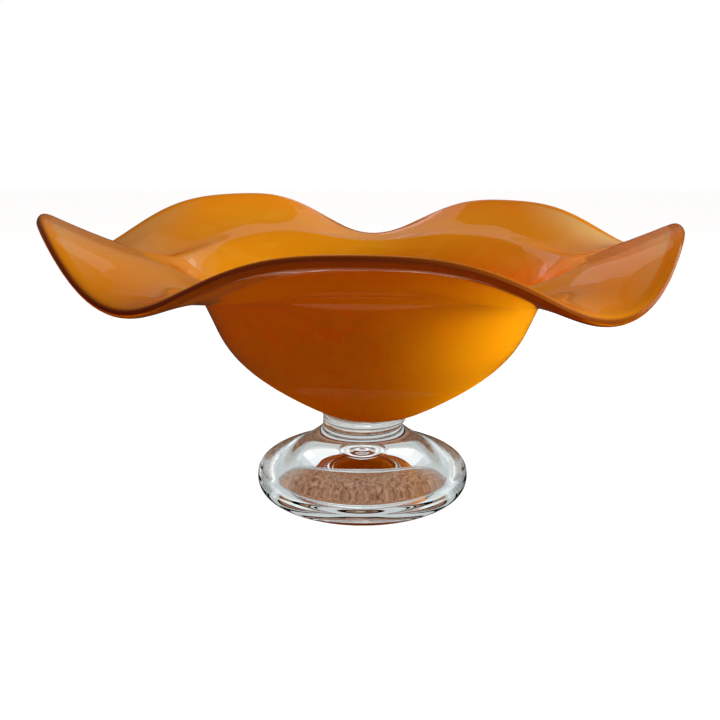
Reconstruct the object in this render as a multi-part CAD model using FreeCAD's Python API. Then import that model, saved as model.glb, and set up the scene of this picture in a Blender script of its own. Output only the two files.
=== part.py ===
import FreeCAD, Part
import math
import os

# Footed bowl of cased glass with a wavy, five-lobed rim.
# Lengths are in millimetres and angles in degrees. +Z is up, the foot stands on Z = 0, and the origin is the
# centre of the foot. Azimuth 0 is +X and azimuth 90 is +Y, so the front of the bowl is at azimuth -90.

# ---------------------------------------------------------------- foot
FOOT_RADIUS = 64.0
FOOT_HEIGHT = 42.0
FOOT_EDGE_ROUNDING = 6.0
FOOT_EDGE_HEIGHT = 14.6
COLLAR_RADIUS = 23.9
COLLAR_HEIGHT = 3.6
SHOULDER_RADIUS = 40.5
SHOULDER_DROP = 16.2
RECESS_RADIUS = 49.0
RECESS_HEIGHT = 14.0
PONTIL_RADIUS = 11.0
PONTIL_DEPTH = 1.6

# ---------------------------------------------------------------- neck rings
NECK_SHIFT = 1.2
LOWER_RING_RADIUS = 24.2
LOWER_RING_HEIGHT = 3.4
UPPER_RING_RADIUS = 24.8
UPPER_RING_HEIGHT = 4.6
RING_BULGE = 0.9

# ---------------------------------------------------------------- bowl
BOWL_SHIFT = 5.5
AMBER_WALL = 2.8
CASING_WALL = 2.2
CASING_BASE = 2.5
SEAT_MARGIN = 0.3
SEAT_ROUNDING = 2.0
FLOOR_RADIUS = 10.0
FLOOR_ROUNDING = 20.0
BODY_RADIUS = 94.6
BODY_DEPTH = 73.0
RIM_REACH = 174.0
RIM_HEIGHT = 100.0
LIP_LENGTH = 3.5
CREST_FULLNESS = 1.5

# The body's profile: shares of BODY_RADIUS and BODY_DEPTH.
BODY_CURVE = (
    (0.675, 0.255),
    (0.925, 0.585),
    (1.000, 1.000),
)

# The skirt's profile: shares of the way from the body to the rim, out and up, and the share of the rim's wave
# that is felt there, in reach and in height.
SKIRT_CURVE = (
    (0.30, 0.56, 0.07, 0.08),
    (0.37, 0.46, 0.26, 0.38),
    (0.68, 0.77, 0.63, 0.43),
    (1.00, 1.00, 1.00, 1.00),
)

# The rim's crests and dips in turn, the front crest first: azimuth, and how much further out and up than
# RIM_REACH and RIM_HEIGHT. A CREST_FULLNESS over 1 makes the crests broader than the dips.
RIM_WAVE = (
    (-93.0, 7.5, 8.5),
    (-55.0, -4.0, -20.5),
    (-16.0, -11.5, 7.0),
    (15.5, 0.5, -14.0),
    (56.0, 2.5, 9.0),
    (89.0, -9.5, -17.5),
    (121.5, 5.5, 13.5),
    (168.5, 1.5, -14.5),
    (196.5, 0.5, 12.5),
    (233.5, 0.5, -17.0),
)

POLES_AROUND = 60

# ---------------------------------------------------------------- heights up the stack
LOWER_RING_BASE = FOOT_HEIGHT
UPPER_RING_BASE = LOWER_RING_BASE + LOWER_RING_HEIGHT
CASING_UNDERSIDE = UPPER_RING_BASE + UPPER_RING_HEIGHT
BOWL_BASE = CASING_UNDERSIDE + CASING_BASE

# The flat under the casing holds the whole top of the upper ring, though the two are not on one axis.
SEAT_RADIUS = UPPER_RING_RADIUS + abs(BOWL_SHIFT - NECK_SHIFT) + SEAT_MARGIN


def vector(radius, height):
    """A point of a turned profile, in the XZ plane."""
    return FreeCAD.Vector(radius, 0, height)


def spline_edge(points):
    """An edge along a clamped cubic B-spline with these poles."""
    curve = Part.BSplineCurve()
    spans = len(points) - 3
    knots = [float(k) for k in range(spans + 1)]
    mults = [4] + [1] * (spans - 1) + [4]
    curve.buildFromPolesMultsKnots(points, mults, knots, False, 3)
    return curve.toShape()


def arc_edge(start, middle, end):
    return Part.Arc(start, middle, end).toShape()


def line_edge(start, end):
    return Part.LineSegment(start, end).toShape()


def turned(edges, shift):
    """The solid turned by a closed outline about the vertical axis through X = shift."""
    face = Part.Face(Part.Wire(edges))
    solid = face.revolve(FreeCAD.Vector(0, 0, 0), FreeCAD.Vector(0, 0, 1), 360)
    solid.translate(FreeCAD.Vector(shift, 0, 0))
    return solid


def dome_middle(edge_radius, edge_height, top_height, inner_radius):
    """A point part-way up a spherical cap, and the cap's height at inner_radius."""
    rise = top_height - edge_height
    sphere = (edge_radius ** 2 + rise ** 2) / (2 * rise)
    centre = top_height - sphere
    middle_radius = (edge_radius + inner_radius) / 2
    middle = vector(middle_radius, centre + math.sqrt(sphere ** 2 - middle_radius ** 2))
    end = vector(inner_radius, centre + math.sqrt(sphere ** 2 - inner_radius ** 2))
    return middle, end


# ---------------------------------------------------------------- foot and rings
def make_foot():
    """Clear foot: collar, sloping shoulder, thick rounded edge, domed recess underneath with a ground pontil."""
    edge_centre = FOOT_RADIUS - FOOT_EDGE_ROUNDING
    top = vector(COLLAR_RADIUS, FOOT_HEIGHT)
    widest = vector(FOOT_RADIUS, FOOT_EDGE_ROUNDING)
    shoulder = spline_edge([
        top,
        vector(COLLAR_RADIUS + 0.4, FOOT_HEIGHT - COLLAR_HEIGHT),
        vector(SHOULDER_RADIUS, FOOT_HEIGHT - SHOULDER_DROP),
        vector(FOOT_RADIUS - 0.5, FOOT_EDGE_HEIGHT),
        vector(FOOT_RADIUS, (FOOT_EDGE_HEIGHT + FOOT_EDGE_ROUNDING) / 2),
        widest,
    ])
    slant = FOOT_EDGE_ROUNDING * math.sqrt(0.5)
    edge_low = vector(edge_centre, 0)
    edge = arc_edge(widest, vector(edge_centre + slant, FOOT_EDGE_ROUNDING - slant), edge_low)
    recess_rim = vector(RECESS_RADIUS, 0)
    ground = line_edge(edge_low, recess_rim)
    dome_mid, pontil_rim = dome_middle(RECESS_RADIUS, 0, RECESS_HEIGHT, PONTIL_RADIUS)
    dome = arc_edge(recess_rim, dome_mid, pontil_rim)
    pontil_top = pontil_rim.z + PONTIL_DEPTH
    pontil_mid, pontil_centre = dome_middle(PONTIL_RADIUS, pontil_rim.z, pontil_top, 0)
    pontil = arc_edge(pontil_rim, pontil_mid, pontil_centre)
    axis = line_edge(pontil_centre, vector(0, FOOT_HEIGHT))
    lid = line_edge(vector(0, FOOT_HEIGHT), top)
    return turned([lid, shoulder, edge, ground, dome, pontil, axis], 0)


def make_ring(radius, base, height):
    """A flattened round of clear glass with a bulging side."""
    foot_point = vector(radius, base)
    head_point = vector(radius, base + height)
    bulge = vector(radius + RING_BULGE, base + height / 2)
    outline = [
        line_edge(vector(0, base), foot_point),
        arc_edge(foot_point, bulge, head_point),
        line_edge(head_point, vector(0, base + height)),
        line_edge(vector(0, base + height), vector(0, base)),
    ]
    return turned(outline, NECK_SHIFT)


# ---------------------------------------------------------------- bowl
def wave_at(azimuth):
    """The rim's extra reach and height at an azimuth: every crest eases down to the dip on either side."""
    for index, (start, out, up) in enumerate(RIM_WAVE):
        next_start, next_out, next_up = RIM_WAVE[(index + 1) % len(RIM_WAVE)]
        span = (next_start - start) % 360
        along = (azimuth - start) % 360
        if along < span:
            break
    from_crest = index % 2 == 0
    distance = 1 - along / span if from_crest else along / span
    rise = 1 - ((1 + math.cos(math.pi * distance)) / 2) ** CREST_FULLNESS
    share = 1 - rise if from_crest else rise
    return out + (next_out - out) * share, up + (next_up - up) * share


def meeting_profile(azimuth):
    """The profile, at one azimuth, of the face where amber and casing meet, from the body's foot to the rim."""
    out_wave, up_wave = wave_at(azimuth)
    rows = [(BODY_RADIUS * out, BODY_DEPTH * up) for out, up in BODY_CURVE]
    for out, up, reach_share, height_share in SKIRT_CURVE:
        radius = BODY_RADIUS + out * (RIM_REACH - BODY_RADIUS) + reach_share * out_wave
        height = BODY_DEPTH + up * (RIM_HEIGHT - BODY_DEPTH) + height_share * up_wave
        rows.append((radius, height))
    return rows


def directions(rows):
    """The unit direction along the profile at each of its rows."""
    found = []
    for index in range(len(rows)):
        before = rows[max(index - 1, 0)]
        after = rows[min(index + 1, len(rows) - 1)]
        run = after[0] - before[0]
        rise = after[1] - before[1]
        length = math.hypot(run, rise)
        found.append((run / length, rise / length))
    return found


def layer_profile(azimuth, offset, flat_radius, flat_rounding, flat_offset):
    """The meeting profile moved outwards by offset, with a flat round floor and, where it is moved, a lip."""
    rows = meeting_profile(azimuth)
    along = directions(rows)
    moved = [(flat_radius, -flat_offset), (flat_radius + flat_rounding, -flat_offset)]
    for (radius, height), (run, rise) in zip(rows, along):
        moved.append((radius + offset * rise, height - offset * run))
    run, rise = along[-1]
    if offset:
        nose = (moved[-1][0] + LIP_LENGTH * run, moved[-1][1] + LIP_LENGTH * rise)
        moved.append(nose)
    moved.append((rows[-1][0] + LIP_LENGTH * run, rows[-1][1] + LIP_LENGTH * rise))
    return moved


def through(rings):
    """Poles of a closed cubic spline that passes, very nearly, through each ring's evenly spaced points."""
    poles = []
    for index in range(len(rings)):
        here = rings[index]
        before = rings[index - 1]
        after = rings[(index + 1) % len(rings)]
        poles.append([p - (a - p * 2 + b) / 6 for p, a, b in zip(here, before, after)])
    return poles


def layer_face(offset, flat_radius, flat_rounding, flat_offset):
    """One smooth face all round the bowl, from the edge of its flat floor to the lip."""
    around = []
    for index in range(POLES_AROUND):
        azimuth = 360.0 * index / POLES_AROUND
        cosine = math.cos(math.radians(azimuth))
        sine = math.sin(math.radians(azimuth))
        profile = layer_profile(azimuth, offset, flat_radius, flat_rounding, flat_offset)
        around.append([
            FreeCAD.Vector(BOWL_SHIFT + radius * cosine, radius * sine, BOWL_BASE + height)
            for radius, height in profile
        ])
    poles = through(around)
    spans = len(poles[0]) - 3
    surface = Part.BSplineSurface()
    surface.buildFromPolesMultsKnots(
        poles,
        [1] * (POLES_AROUND + 1),
        [4] + [1] * (spans - 1) + [4],
        [float(k) for k in range(POLES_AROUND + 1)],
        [float(k) for k in range(spans + 1)],
        True,
        False,
        3,
        3,
    )
    return surface.toShape()


def floor_face(face):
    """The flat disc that closes a layer face at its lowest edge."""
    rings = [edge for edge in face.Edges if edge.isClosed()]
    lowest = min(rings, key=lambda edge: edge.BoundBox.ZMin)
    return Part.Face(Part.Wire([lowest]))


def closed_solid(faces):
    """The solid inside faces that meet along their edges."""
    shell = Part.Shell(faces)
    shell.sewShape()
    solid = Part.Solid(shell)
    if solid.Volume < 0:
        solid.reverse()
    return solid


def make_bowl():
    """The amber gather and the clear casing, which share one meeting face."""
    inner = layer_face(-AMBER_WALL, FLOOR_RADIUS, FLOOR_ROUNDING, -AMBER_WALL)
    meeting = layer_face(0, FLOOR_RADIUS, FLOOR_ROUNDING, 0)
    outer = layer_face(CASING_WALL, SEAT_RADIUS, SEAT_ROUNDING, CASING_BASE)
    amber = closed_solid([inner, floor_face(inner), meeting, floor_face(meeting)])
    casing = closed_solid([meeting, floor_face(meeting), outer, floor_face(outer)])
    return amber, casing


def main():
    os.makedirs("parts", exist_ok=True)
    amber, casing = make_bowl()
    nodes = {
        "amber_bowl": amber,
        "clear_casing": casing,
        "upper_neck_ring": make_ring(UPPER_RING_RADIUS, UPPER_RING_BASE, UPPER_RING_HEIGHT),
        "lower_neck_ring": make_ring(LOWER_RING_RADIUS, LOWER_RING_BASE, LOWER_RING_HEIGHT),
        "foot": make_foot(),
    }
    for name, shape in nodes.items():
        box = shape.BoundBox
        print(name, "valid", shape.isValid(), "volume %.0f" % shape.Volume,
              "box %.1f %.1f %.1f  %.1f %.1f %.1f" % (box.XMin, box.YMin, box.ZMin, box.XMax, box.YMax, box.ZMax))
        shape.exportStep("parts/" + name + ".step")


main()
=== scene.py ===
import math

import bpy
from bpy.props import FloatProperty, FloatVectorProperty, PointerProperty
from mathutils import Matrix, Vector
from mathutils.bvhtree import BVHTree
from mathutils.kdtree import KDTree


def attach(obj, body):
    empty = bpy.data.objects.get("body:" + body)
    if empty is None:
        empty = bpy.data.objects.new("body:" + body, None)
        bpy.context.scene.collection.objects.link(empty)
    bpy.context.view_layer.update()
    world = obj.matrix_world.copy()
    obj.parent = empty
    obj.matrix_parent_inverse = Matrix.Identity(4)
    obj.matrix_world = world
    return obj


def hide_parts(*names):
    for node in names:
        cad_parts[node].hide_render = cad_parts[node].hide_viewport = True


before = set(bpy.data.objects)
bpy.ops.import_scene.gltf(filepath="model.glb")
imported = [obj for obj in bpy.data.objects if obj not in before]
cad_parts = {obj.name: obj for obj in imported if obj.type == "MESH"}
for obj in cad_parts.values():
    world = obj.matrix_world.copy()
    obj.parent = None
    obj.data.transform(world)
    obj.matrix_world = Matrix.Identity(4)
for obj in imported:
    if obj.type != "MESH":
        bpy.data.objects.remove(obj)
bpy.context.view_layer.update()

bl_info = {
    "name": "Footed cased glass bowl",
    "version": (1, 0, 0),
    "blender": (4, 5, 0),
    "location": "3D View > Sidebar > Glass bowl",
    "description": "Amber bowl in a clear casing on two neck rings and a clear foot, with its studio",
    "category": "Object",
}

# Joining and smoothing. All lengths in this file are in metres.
SAME_POINT = 1e-6
SMOOTH_ANGLE = math.radians(35)
FUSED_REACH = 0.0004
FUSED_FACING = -0.9
JOINT_GAP = 0.0001
FLAT_ENOUGH = 0.999

# The lip: how finely its line is measured, where its band of painted shade fades out on top and under the
# casing, and where the colour of the rim beside it does. The fades are distances from the lip.
LIP_STEPS = 16
TOP_LIP_SHADE = (0.0012, 0.0030)
CASED_LIP_SHADE = (0.002, 0.0085)
RIM_ZONE = (0.005, 0.036)

# The side lobes' painted sheen, a paler colour standing in for their reflection, each pair a fade: in past
# the rolled rim, out again further from the rim, in further from the middle on both sides, and over to the
# window side's painted sheen and window light.
ROLLED_RIM = (0.0058, 0.0070)
SHEEN_REACH = (0.010, 0.050)
SHEEN_SHARE = 0.8
SIDE_LOBES = (0.112, 0.145)
WINDOW_SIDE = (0.0, 0.1)

# The heights between which the mirror on the casing's outside fades in, upwards from the neck.
CASING_MIRROR = (0.074, 0.090)

# The neck: two rings with bulging sides, their axis a little off the foot's.
NECK_X = 0.0012
NECK_TOP = 0.0500
NECK_WAIST = 0.0454
UPPER_RING_RADIUS = 0.0248
LOWER_RING_RADIUS = 0.0242
RING_BULGE = 0.0009
RING_STEPS = 12
RING_TURNS = 120

# The foot: a shoulder, a quarter-round edge, a ground ring, a domed recess and a pontil mark.
FOOT_TOP = 0.042
FOOT_SHOULDER = ((0.0239, FOOT_TOP), (0.0243, 0.0384), (0.0405, 0.0258), (0.0610, 0.0160), (0.0634, 0.0127))
FOOT_RADIUS = 0.064
EDGE_WIDTH = 0.0065
EDGE_HEIGHT = 0.0085
RECESS_RADIUS = 0.049
RECESS_DEPTH = 0.014
PONTIL_RADIUS = 0.011
PONTIL_RISE = 0.0016
PONTIL_RIPPLE = 0.0005
PONTIL_HALF_WAVES = 2.5
JOINT_RADIUS = 0.012
SHOULDER_STEPS = 12
EDGE_STEPS = 16
RECESS_STEPS = 24
PONTIL_STEPS = 30
FOOT_TURNS = 180

# The floor: plain and pale to the camera, brown fibres near the foot to rays through the glass.
FLOOR_SIZE = 8
FLOOR_GLOW = 0.96
FLOOR_GREY = (0.22, 0.22, 0.22, 1)
FIBRES = ((0.36, (0.16, 0.075, 0.040)), (0.66, (0.52, 0.31, 0.20)))
FIBRES_END = (0.062, 0.070)
FLOOR_BEYOND = (0.62, 0.66, 0.66, 1)
FLOOR_REFLECTED = (0.030, 0.018, 0.011, 1)
FLOOR_BOUNCED = (0.13, 0.065, 0.035, 1)
FLOOR_INSIDE = (0.42, 0.30, 0.12, 1)

# The surroundings: white to the camera, dim to reflections, grey bands by height to rays through the glass.
WHITE = (1, 1, 1, 1)
ROOM_REFLECTED = (
    (0.00, (0.03, 0.02, 0.015)), (0.02, (0.07, 0.07, 0.075)), (0.62, (0.065, 0.067, 0.075)),
    (0.80, (0.05, 0.052, 0.06)), (1.0, (0.05, 0.05, 0.06)))
ROOM_THROUGH = (
    (0.00, (0.55, 0.58, 0.58)), (0.25, (0.66, 0.71, 0.71)), (0.55, (0.56, 0.62, 0.63)),
    (0.60, (0.20, 0.21, 0.22)), (0.66, (0.50, 0.56, 0.58)), (1.0, (0.45, 0.50, 0.53)))
ROOM_BOUNCED = (0.095, 0.050, 0.026, 1)
ROOM_INSIDE = (0.55, 0.44, 0.21, 1)

# The lamps: name, place, size, power in watts, aim, and whether reflections and rays through glass see it.
LAMPS = (
    ("window", (0.70, 0.00, 0.16), (0.44, 0.36), 10.0, (0, 0, 0.09), False),
    ("window pane", (0.72, 0.16, 0.20), (0.42, 0.36), 0.5, (0, 0, 0.09), True),
    ("sky", (0.15, 0.35, 1.2), (0.9, 0.9), 9.6, (0, 0, 0.1), False),
    ("back wall", (0.35, 5.02, 2.55), (3.90, 3.07), 4.2, (0.35, 0, 2.55), True),
    ("back window", (0.155, 5.0, 2.70), (1.41, 2.66), 3.2, (0.155, 0, 2.70), True),
    ("back card", (-0.05, 1.0, 0.40), (0.10, 0.24), 0.035, (-0.05, 0, 0.40), True),
)


# ------------------------------------------------------------------ settings
class AmberGlassSettings(bpy.types.PropertyGroup):
    """The dense orange glass."""

    body_colour: FloatVectorProperty(
        name="Body colour", description="Colour of the glass on the open top",
        subtype="COLOR", size=4, min=0, max=1, default=(0.90, 0.42, 0.003, 1))
    deep_colour: FloatVectorProperty(
        name="Deep colour", description="Colour of the streaks where the orange lies thicker",
        subtype="COLOR", size=4, min=0, max=1, default=(0.88, 0.36, 0.0025, 1))
    cased_colour: FloatVectorProperty(
        name="Cased colour", description="Colour of the glass as seen through the clear casing",
        subtype="COLOR", size=4, min=0, max=1, default=(0.90, 0.46, 0.003, 1))
    cased_deep_colour: FloatVectorProperty(
        name="Cased deep colour", description="Colour of the thicker streaks as seen through the casing",
        subtype="COLOR", size=4, min=0, max=1, default=(0.87, 0.41, 0.0025, 1))
    rim_colour: FloatVectorProperty(
        name="Rim colour", description="Colour of the glass near the rim, short of the lip",
        subtype="COLOR", size=4, min=0, max=1, default=(0.93, 0.335, 0.004, 1))
    # Painted shade: the dark band along the lip is painted into the colour, standing in for the shade there.
    lip_shade_colour: FloatVectorProperty(
        name="Lip colour", description="Colour of the fire-polished lip, where the glass is thickest",
        subtype="COLOR", size=4, min=0, max=1, default=(0.40, 0.108, 0.007, 1))
    inner_colour: FloatVectorProperty(
        name="Inner colour", description="Colour of the light that has come through the wall",
        subtype="COLOR", size=4, min=0, max=1, default=(0.88, 0.29, 0.0018, 1))
    wisp_colour: FloatVectorProperty(
        name="Wisp colour", description="Colour of the faint milky wisps in the glass",
        subtype="COLOR", size=4, min=0, max=1, default=(0.93, 0.52, 0.035, 1))
    # Painted sheen: this paler colour stands in for the reflection inside the side lobes' rims.
    side_sheen_colour: FloatVectorProperty(
        name="Side colour", description="Paler colour of the two side lobes, inside their rolled rims",
        subtype="COLOR", size=4, min=0, max=1, default=(0.76, 0.47, 0.12, 1))
    # Painted sheen and painted window light on the side that the window lights.
    window_lit_sheen_colour: FloatVectorProperty(
        name="Window side colour", description="The same on the side that the window lights from behind",
        subtype="COLOR", size=4, min=0, max=1, default=(0.84, 0.66, 0.22, 1))
    glow: FloatProperty(
        name="Glow", description="Share of the light that passes into the wall instead of off it",
        default=0.32, min=0, max=1, subtype="FACTOR")


class ClearGlassSettings(bpy.types.PropertyGroup):
    """The clear glass of casing, neck and foot."""

    tint: FloatVectorProperty(
        name="Tint", description="Faint colour of the clear glass",
        subtype="COLOR", size=4, min=0, max=1, default=(0.97, 0.985, 0.985, 1))
    shadow_tint: FloatVectorProperty(
        name="Shadow tint", description="Share of each colour of a lamp's light that the clear glass lets by",
        subtype="COLOR", size=4, min=0, max=1, default=(0.93, 0.94, 0.94, 1))
    bend: FloatProperty(
        name="Index of refraction", description="How strongly the glass bends light",
        default=1.5, min=1, max=2)


class StudioSettings(bpy.types.PropertyGroup):
    """Floor, lights and camera."""

    camera_distance: FloatProperty(
        name="Camera distance", description="From the foot's axis to the camera, along the floor",
        default=0.4593, unit="LENGTH")
    camera_height: FloatProperty(
        name="Camera height", description="Above the floor", default=0.1983, unit="LENGTH")
    camera_side: FloatProperty(
        name="Camera side step", description="To the right of the foot's axis",
        default=-0.0015, unit="LENGTH")
    camera_pitch: FloatProperty(
        name="Camera pitch", description="How far the camera looks down",
        default=math.radians(14.567), unit="ROTATION")
    lens: FloatProperty(name="Lens", description="Focal length", default=39.785, unit="CAMERA")
    sensor: FloatProperty(name="Sensor", description="Width of the sensor", default=36, unit="CAMERA")


# ------------------------------------------------------------------ shaping
def deselect():
    if bpy.context.object and bpy.context.object.mode != "OBJECT":
        bpy.ops.object.mode_set(mode="OBJECT")
    bpy.ops.object.select_all(action="DESELECT")


def take(obj):
    deselect()
    obj.select_set(True)
    bpy.context.view_layer.objects.active = obj


def merged_copy(node_name, piece_name):
    """A copy of a frame node with its triangles joined and the node's own smooth normals."""
    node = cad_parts[node_name]
    take(node)
    bpy.ops.object.duplicate()
    piece = bpy.context.object
    piece.name = piece_name
    bpy.ops.object.mode_set(mode="EDIT")
    bpy.ops.mesh.select_all(action="SELECT")
    bpy.ops.mesh.remove_doubles(threshold=SAME_POINT)
    bpy.ops.mesh.select_all(action="DESELECT")
    bpy.ops.object.mode_set(mode="OBJECT")
    normals = piece.modifiers.new("normals", "DATA_TRANSFER")
    normals.object = node
    normals.use_loop_data = True
    normals.data_types_loops = {"CUSTOM_NORMAL"}
    normals.loop_mapping = "TOPOLOGY"
    bpy.ops.object.modifier_apply(modifier="normals")
    piece.data.materials.clear()
    return piece


def spun(name, outline, centre_x, turns):
    """A solid of revolution: one point is drawn out along the outline, then spun round the axis."""
    deselect()
    bpy.ops.mesh.primitive_plane_add(size=0.001, location=(0, 0, 0))
    piece = bpy.context.object
    piece.name = name
    bpy.ops.object.mode_set(mode="EDIT")
    bpy.ops.mesh.select_all(action="SELECT")
    bpy.ops.mesh.merge(type="CENTER")
    here = Vector((centre_x + outline[0][0], 0, outline[0][1]))
    bpy.ops.transform.translate(value=here)
    for radius, height in outline[1:]:
        there = Vector((centre_x + radius, 0, height))
        bpy.ops.mesh.extrude_region_move(TRANSFORM_OT_translate={"value": there - here})
        here = there
    bpy.ops.mesh.select_all(action="SELECT")
    bpy.ops.mesh.spin(steps=turns, angle=2 * math.pi, center=(centre_x, 0, 0), axis=(0, 0, 1))
    bpy.ops.mesh.select_all(action="SELECT")
    bpy.ops.mesh.remove_doubles(threshold=SAME_POINT)
    bpy.ops.mesh.normals_make_consistent(inside=False)
    bpy.ops.mesh.select_all(action="DESELECT")
    bpy.ops.object.mode_set(mode="OBJECT")
    bpy.ops.object.shade_smooth_by_angle(angle=SMOOTH_ANGLE)
    return piece


def flowing(points, steps):
    """Points on a smooth curve through the given ones, without overshoot where they lie close."""
    ends = [tuple(2 * a - b for a, b in zip(points[0], points[1]))]
    ends += list(points) + [tuple(2 * a - b for a, b in zip(points[-1], points[-2]))]
    line = []
    for p0, p1, p2, p3 in zip(ends, ends[1:], ends[2:], ends[3:]):
        p0, p1, p2, p3 = (Vector(p) for p in (p0, p1, p2, p3))
        t1 = (p1 - p0).length ** 0.5
        t2 = t1 + (p2 - p1).length ** 0.5
        t3 = t2 + (p3 - p2).length ** 0.5
        for k in range(steps):
            t = t1 + (t2 - t1) * k / steps
            a1 = p0 * (t1 - t) / t1 + p1 * t / t1
            a2 = p1 * (t2 - t) / (t2 - t1) + p2 * (t - t1) / (t2 - t1)
            a3 = p2 * (t3 - t) / (t3 - t2) + p3 * (t - t2) / (t3 - t2)
            b1 = a1 * (t2 - t) / t2 + a2 * t / t2
            b2 = a2 * (t3 - t) / (t3 - t1) + a3 * (t - t1) / (t3 - t1)
            line.append(tuple(b1 * (t2 - t) / (t2 - t1) + b2 * (t - t1) / (t2 - t1)))
    return line + [tuple(points[-1])]


def mark_fused(piece, *neighbours):
    """Gives the faces that lie on a neighbouring node the second material, and all others the first."""
    for face in piece.data.polygons:
        face.material_index = 0
    for neighbour in neighbours:
        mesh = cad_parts[neighbour].data
        surface = BVHTree.FromPolygons(
            [v.co for v in mesh.vertices], [tuple(p.vertices) for p in mesh.polygons])
        for face in piece.data.polygons:
            place, normal, _, _ = surface.find_nearest(face.center, FUSED_REACH)
            if place is not None and normal.dot(face.normal) < FUSED_FACING:
                face.material_index = 1


def put_in_frame(piece, node_name):
    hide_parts(node_name)
    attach(piece, "root")


# ------------------------------------------------------------------ materials
class Nodes:
    """The node tree of a material or a world, filled from the top."""

    def __init__(self, owner):
        owner.use_nodes = True
        self.owner = owner
        self.tree = owner.node_tree
        self.tree.nodes.clear()

    def add(self, kind, **inputs):
        """A node with its inputs set or linked, each by its name, or by i and its number."""
        node = self.tree.nodes.new("ShaderNode" + kind)
        for key, value in inputs.items():
            numbered = key[0] == "i" and key[1:].isdigit()
            socket = node.inputs[int(key[1:]) if numbered else key.replace("_", " ")]
            if isinstance(value, bpy.types.NodeSocket):
                self.tree.links.new(value, socket)
            else:
                socket.default_value = value
        return node

    def maths(self, operation, first, second=0.0):
        node = self.add("Math", i0=first, i1=second)
        node.operation = operation
        return node.outputs[0]

    def slope(self, value, ends, start=0.0, end=1.0):
        """From start to end as the value goes from one of the two ends to the other."""
        node = self.add("MapRange", Value=value, From_Min=ends[0], From_Max=ends[1], To_Min=start, To_Max=end)
        return node.outputs[0]

    def ramp(self, value, stops):
        node = self.add("ValToRGB", Fac=value)
        marks = node.color_ramp.elements
        while len(marks) < len(stops):
            marks.new(0.5)
        for mark, (place, colour) in zip(marks, stops):
            mark.position = place
            mark.color = (*colour[:3], 1)
        return node.outputs["Color"]

    def tone(self, share, first, second):
        """A colour: the given share of the second, the rest of the first."""
        return self.add("MixRGB", Fac=share, Color1=first, Color2=second).outputs["Color"]

    def blend(self, share, first, second):
        """A shader: the given share of the second, the rest of the first."""
        return self.add("MixShader", i0=share, i1=first, i2=second).outputs[0]

    def by_ray(self, camera, reflected, bounced, through, inside):
        """One shader for each kind of ray; inside is for rays through glass that have bounced before."""
        path = self.add("LightPath").outputs
        passing = self.blend(path["Diffuse Depth"], through, inside)
        others = self.blend(path["Is Diffuse Ray"], reflected, bounced)
        unseen = self.blend(path["Is Transmission Ray"], others, passing)
        return self.blend(path["Is Camera Ray"], unseen, camera)

    def done(self, shader):
        kind = "OutputWorld" if isinstance(self.owner, bpy.types.World) else "OutputMaterial"
        self.add(kind, Surface=shader)
        return self.owner


def clear_glass(name, dress, mirror_from=None):
    """Clear glass. With mirror_from, its outer face only bends light below the first of two heights."""
    n = Nodes(bpy.data.materials.new(name))
    place = n.add("TexCoord").outputs["Object"]
    ripple = n.add("TexNoise", Vector=place, Scale=38.0, Detail=2.0, Roughness=0.4)
    relief = n.add("Bump", Strength=0.05, Distance=0.002, Height=ripple.outputs["Fac"])
    glass = n.add(
        "BsdfPrincipled", Base_Color=dress.tint, Roughness=0.0, IOR=dress.bend,
        Transmission_Weight=1.0, Normal=relief.outputs["Normal"]).outputs[0]
    if mirror_from:
        height = n.add("SeparateXYZ", Vector=place).outputs["Z"]
        low = n.slope(height, mirror_from, 1.0, 0.0)
        outside = n.maths("SUBTRACT", 1.0, n.add("NewGeometry").outputs["Backfacing"])
        bent = n.add("BsdfRefraction", Color=dress.tint, Roughness=0.0, IOR=dress.bend)
        glass = n.blend(n.maths("MULTIPLY", low, outside), glass, bent.outputs[0])
    shade = n.add("BsdfTransparent", Color=dress.shadow_tint)
    return n.done(n.blend(n.add("LightPath").outputs["Is Shadow Ray"], glass, shade.outputs[0]))


def fused_joint(name):
    """The shared face of two fused pieces, which light crosses as if it weren't there."""
    n = Nodes(bpy.data.materials.new(name))
    return n.done(n.add("BsdfTransparent", Color=WHITE).outputs[0])


def streaks(n, place, deep, body):
    """Slow changes between the thicker and the thinner orange."""
    noise = n.add("TexNoise", Vector=place, Scale=7.0, Detail=1.0, Roughness=0.4, Distortion=0.4)
    return n.ramp(noise.outputs["Fac"], ((0.35, deep), (0.62, body)))


def wisps(n, place, colour, dress):
    """Faint milky wisps, drawn out level."""
    drawn = n.add("Mapping", Vector=place, Scale=(1.0, 1.0, 2.6))
    swirl = n.add(
        "TexNoise", Vector=drawn.outputs[0], Scale=16.0, Detail=3.0, Roughness=0.5, Distortion=2.2)
    return n.tone(n.slope(swirl.outputs["Fac"], (0.50, 0.74), 0.0, 0.5), colour, dress.wisp_colour)


def painted_side_sheen(n, place, rim, colour, dress):
    """Painted sheen: a paler colour on the two side lobes in place of their reflection, strongest just inside
    the rolled rim.
    """
    sideways = n.add("SeparateXYZ", Vector=place).outputs["X"]
    side = n.slope(n.maths("ABSOLUTE", sideways), SIDE_LOBES)
    on_side = n.maths("MULTIPLY", side, n.slope(rim, ROLLED_RIM))
    share = n.maths("MULTIPLY", on_side, n.slope(rim, SHEEN_REACH, SHEEN_SHARE, 0.0))
    paler = n.tone(n.slope(sideways, WINDOW_SIDE), dress.side_sheen_colour, dress.window_lit_sheen_colour)
    return n.tone(share, colour, paler)


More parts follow.
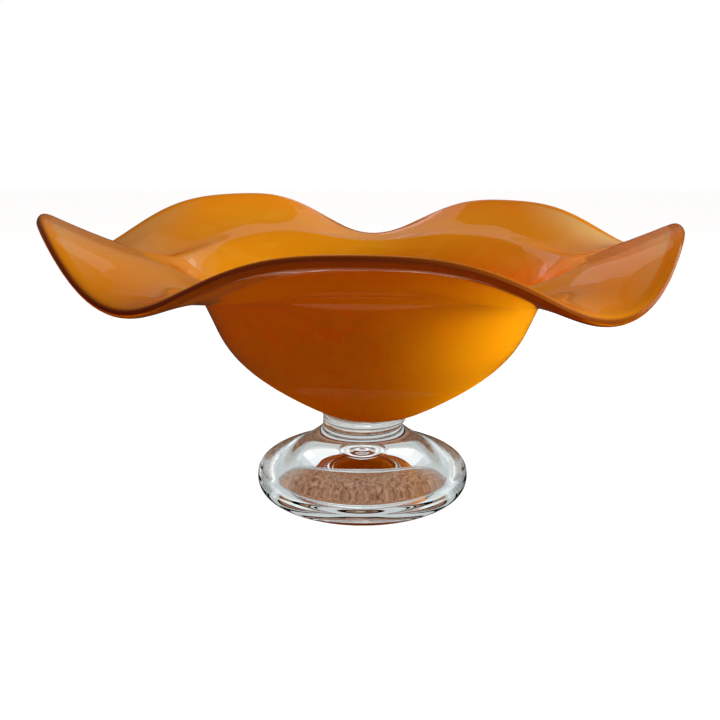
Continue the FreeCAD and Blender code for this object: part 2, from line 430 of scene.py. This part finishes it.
def amber_glass(name, dress, lip, cased):
    """The dense orange glass, with painted shade on the lip. Cased, it has no mirror of its own, no wisps and
    no painted side sheen.
    """
    n = Nodes(bpy.data.materials.new(name))
    place = n.add("TexCoord").outputs["Object"]
    marks = n.add("Attribute")
    marks.attribute_name = "rim_distance"
    rim = marks.outputs["Fac"]
    inland = n.slope(rim, RIM_ZONE)
    if cased:
        colour = streaks(n, place, dress.cased_deep_colour, dress.cased_colour)
        colour = n.tone(inland, dress.rim_colour, colour)
    else:
        colour = wisps(n, place, streaks(n, place, dress.deep_colour, dress.body_colour), dress)
        # Painted sheen on the side lobes, in place of their reflection.
        colour = painted_side_sheen(n, place, rim, n.tone(inland, dress.rim_colour, colour), dress)
    # Painted shade: near the lip, the surface and the light through the wall darken to the lip shade colour.
    lip_shade_fade = n.add("MapRange", Value=rim, From_Min=lip[0], From_Max=lip[1])
    lip_shade_fade.interpolation_type = "SMOOTHSTEP"
    lip_shade_fade = lip_shade_fade.outputs[0]
    surface = n.add(
        "BsdfPrincipled", Base_Color=n.tone(lip_shade_fade, dress.lip_shade_colour, colour), Roughness=0.01, IOR=1.5,
        Specular_IOR_Level=0.0 if cased else 0.5)
    inner = n.add("BsdfTranslucent", Color=n.tone(lip_shade_fade, dress.lip_shade_colour, dress.inner_colour))
    return n.done(n.blend(dress.glow, surface.outputs[0], inner.outputs[0]))


# ------------------------------------------------------------------ pieces
class BOWL_OT_amber(bpy.types.Operator):
    """The amber bowl, glossy inside and bonded to the casing outside"""

    bl_idname = "bowl.amber"
    bl_label = "Amber bowl"

    def execute(self, context):
        dress = context.scene.amber_glass
        piece = merged_copy("amber_bowl", "amber_layer")
        piece.data.materials.append(amber_glass("amber glass", dress, TOP_LIP_SHADE, cased=False))
        piece.data.materials.append(amber_glass("amber glass under the casing", dress, CASED_LIP_SHADE, cased=True))
        mark_fused(piece, "clear_casing")
        self.measure_rim(piece)
        put_in_frame(piece, "amber_bowl")
        return {"FINISHED"}

    def measure_rim(self, piece):
        """Writes each point's distance from the line where amber and casing meet at the lip."""
        inner, outer = set(), set()
        for face in piece.data.polygons:
            (outer if face.material_index else inner).update(face.vertices)
        lip = inner & outer
        line = []
        for edge in piece.data.edges:
            if lip.issuperset(edge.vertices):
                start, end = (piece.data.vertices[i].co for i in edge.vertices)
                line += [start.lerp(end, k / LIP_STEPS) for k in range(LIP_STEPS + 1)]
        tree = KDTree(len(line))
        for i, place in enumerate(line):
            tree.insert(place, i)
        tree.balance()
        marks = piece.data.attributes.new("rim_distance", "FLOAT", "POINT")
        for vertex in piece.data.vertices:
            marks.data[vertex.index].value = tree.find(vertex.co)[2]


class BOWL_OT_clear(bpy.types.Operator):
    """The clear casing, the neck rings and the foot, fused to each other"""

    bl_idname = "bowl.clear"
    bl_label = "Clear glass"

    def execute(self, context):
        glass = clear_glass("clear glass", context.scene.clear_glass)
        joint = fused_joint("fused joint")
        cover = clear_glass("clear casing glass", context.scene.clear_glass, CASING_MIRROR)
        casing = merged_copy("clear_casing", "casing")
        casing.data.materials.append(cover)
        casing.data.materials.append(joint)
        mark_fused(casing, "amber_bowl", "upper_neck_ring")
        put_in_frame(casing, "clear_casing")
        for node_name, piece_name, radius, low, high in (
                ("upper_neck_ring", "neck_ring_upper", UPPER_RING_RADIUS, NECK_WAIST, NECK_TOP),
                ("lower_neck_ring", "neck_ring_lower", LOWER_RING_RADIUS, FOOT_TOP, NECK_WAIST)):
            ring = spun(piece_name, self.ring_outline(radius, low, high), NECK_X, RING_TURNS)
            self.dress(ring, glass, joint, (low, high))
            put_in_frame(ring, node_name)
        foot = spun("clear_foot", self.foot_outline(), 0, FOOT_TURNS)
        self.dress(foot, glass, joint, (FOOT_TOP,))
        put_in_frame(foot, "foot")
        return {"FINISHED"}

    def dress(self, piece, glass, joint, fused_heights):
        """Clear glass all over, with the joint on the flat faces at the fused heights."""
        piece.data.materials.append(glass)
        piece.data.materials.append(joint)
        for face in piece.data.polygons:
            flat = abs(face.normal.z) > FLAT_ENOUGH
            at_joint = any(abs(face.center.z - height) < JOINT_GAP for height in fused_heights)
            face.material_index = 1 if flat and at_joint else 0

    def ring_outline(self, radius, low, high):
        outline = [(0, low)]
        for k in range(RING_STEPS + 1):
            share = k / RING_STEPS
            outline.append((radius + RING_BULGE * math.sin(math.pi * share), low + (high - low) * share))
        return outline + [(0, high)]

    def foot_outline(self):
        """From the middle of the top, down the shoulder, round the edge and in under the recess."""
        outline = [(0, FOOT_TOP), (JOINT_RADIUS, FOOT_TOP)]
        outline += flowing(FOOT_SHOULDER + ((FOOT_RADIUS, EDGE_HEIGHT),), SHOULDER_STEPS)
        for k in range(1, EDGE_STEPS + 1):
            turn = math.pi / 2 * k / EDGE_STEPS
            outline.append((FOOT_RADIUS - EDGE_WIDTH + EDGE_WIDTH * math.cos(turn),
                            EDGE_HEIGHT - EDGE_HEIGHT * math.sin(turn)))
        bend = (RECESS_RADIUS ** 2 + RECESS_DEPTH ** 2) / (2 * RECESS_DEPTH)

        def dome(radius):
            return RECESS_DEPTH - (bend - math.sqrt(bend ** 2 - radius ** 2))

        for k in range(RECESS_STEPS + 1):
            radius = RECESS_RADIUS - (RECESS_RADIUS - PONTIL_RADIUS) * k / RECESS_STEPS
            outline.append((radius, dome(radius)))
        for k in range(1, PONTIL_STEPS + 1):
            share = 1 - k / PONTIL_STEPS
            rise = PONTIL_RISE * (1 - share ** 2)
            ripple = PONTIL_RIPPLE * math.sin(math.pi * PONTIL_HALF_WAVES * share) * math.sin(math.pi * share)
            outline.append((PONTIL_RADIUS * share, dome(PONTIL_RADIUS) + rise + ripple))
        return outline


# ------------------------------------------------------------------ studio
class BOWL_OT_studio(bpy.types.Operator):
    """The floor, the lights and the camera"""

    bl_idname = "bowl.studio"
    bl_label = "Studio"

    def execute(self, context):
        self.floor()
        for lamp in LAMPS:
            self.light(*lamp)
        self.surroundings(context.scene)
        self.camera(context.scene, context.scene.studio)
        return {"FINISHED"}

    def floor(self):
        deselect()
        bpy.ops.mesh.primitive_plane_add(size=FLOOR_SIZE, location=(0, 0, 0))
        floor = bpy.context.object
        floor.name = "floor"
        n = Nodes(bpy.data.materials.new("pale floor"))
        place = n.add("TexCoord").outputs["Object"]
        stretch = n.add("Mapping", Vector=place, Scale=(1.0, 0.35, 1.0))
        fibres = n.add(
            "TexNoise", Vector=stretch.outputs[0], Scale=420.0, Detail=4.0, Roughness=0.7, Distortion=0.6)
        reach = n.add("VectorMath", i0=place)
        reach.operation = "LENGTH"
        beyond = n.slope(reach.outputs["Value"], FIBRES_END)
        around = n.tone(beyond, n.ramp(fibres.outputs["Fac"], FIBRES), FLOOR_BEYOND)
        paint = n.add("Emission", Color=WHITE, Strength=FLOOR_GLOW)
        grey = n.add("BsdfDiffuse", Color=FLOOR_GREY)
        pale = n.add("AddShader", i0=paint.outputs[0], i1=grey.outputs[0])
        colours = (FLOOR_REFLECTED, FLOOR_BOUNCED, around, FLOOR_INSIDE)
        glows = [n.add("Emission", Color=colour, Strength=1.0).outputs[0] for colour in colours]
        material = n.done(n.by_ray(pale.outputs[0], *glows))
        material.cycles.emission_sampling = "NONE"
        floor.data.materials.append(material)

    def surroundings(self, scene):
        n = Nodes(bpy.data.worlds.new("studio"))
        direction = n.add("TexCoord").outputs["Generated"]
        height = n.add("SeparateXYZ", Vector=direction).outputs["Z"]
        reflected = n.ramp(height, ROOM_REFLECTED)
        through = n.ramp(height, ROOM_THROUGH)
        colours = (WHITE, reflected, ROOM_BOUNCED, through, ROOM_INSIDE)
        skies = [n.add("Background", Color=colour).outputs[0] for colour in colours]
        world = n.done(n.by_ray(*skies))
        world.cycles.sampling_method = "NONE"
        scene.world = world

    def light(self, name, place, size, power, aim, mirrored):
        turn = (Vector(aim) - Vector(place)).to_track_quat("-Z", "Y").to_euler()
        bpy.ops.object.light_add(type="AREA", location=place, rotation=turn)
        lamp = bpy.context.object
        lamp.name = name
        lamp.data.shape = "RECTANGLE"
        lamp.data.size, lamp.data.size_y = size
        lamp.data.energy = power
        lamp.visible_camera = False
        lamp.visible_glossy = mirrored
        lamp.visible_transmission = mirrored

    def camera(self, scene, settings):
        scene.view_settings.view_transform = "Standard"
        bpy.ops.object.camera_add(
            location=(settings.camera_side, -settings.camera_distance, settings.camera_height),
            rotation=(math.pi / 2 - settings.camera_pitch, 0, 0))
        camera = bpy.context.object
        camera.data.lens = settings.lens
        camera.data.sensor_width = settings.sensor
        scene.camera = camera


class BOWL_PT_panel(bpy.types.Panel):
    """Lists the pieces"""

    bl_idname = "BOWL_PT_panel"
    bl_label = "Glass bowl"
    bl_space_type = "VIEW_3D"
    bl_region_type = "UI"
    bl_category = "Glass bowl"

    def draw(self, context):
        for operator in OPERATORS:
            self.layout.operator(operator.bl_idname)


SETTINGS = {"amber_glass": AmberGlassSettings, "clear_glass": ClearGlassSettings, "studio": StudioSettings}
OPERATORS = (BOWL_OT_amber, BOWL_OT_clear, BOWL_OT_studio)


def register():
    for name, group in SETTINGS.items():
        bpy.utils.register_class(group)
        setattr(bpy.types.Scene, name, PointerProperty(type=group))
    for operator in OPERATORS:
        bpy.utils.register_class(operator)
    bpy.utils.register_class(BOWL_PT_panel)


def unregister():
    bpy.utils.unregister_class(BOWL_PT_panel)
    for operator in reversed(OPERATORS):
        bpy.utils.unregister_class(operator)
    for name, group in SETTINGS.items():
        delattr(bpy.types.Scene, name)
        bpy.utils.unregister_class(group)


def main():
    register()
    bpy.ops.bowl.amber()
    bpy.ops.bowl.clear()
    bpy.ops.bowl.studio()


if __name__ == "__main__":
    main()
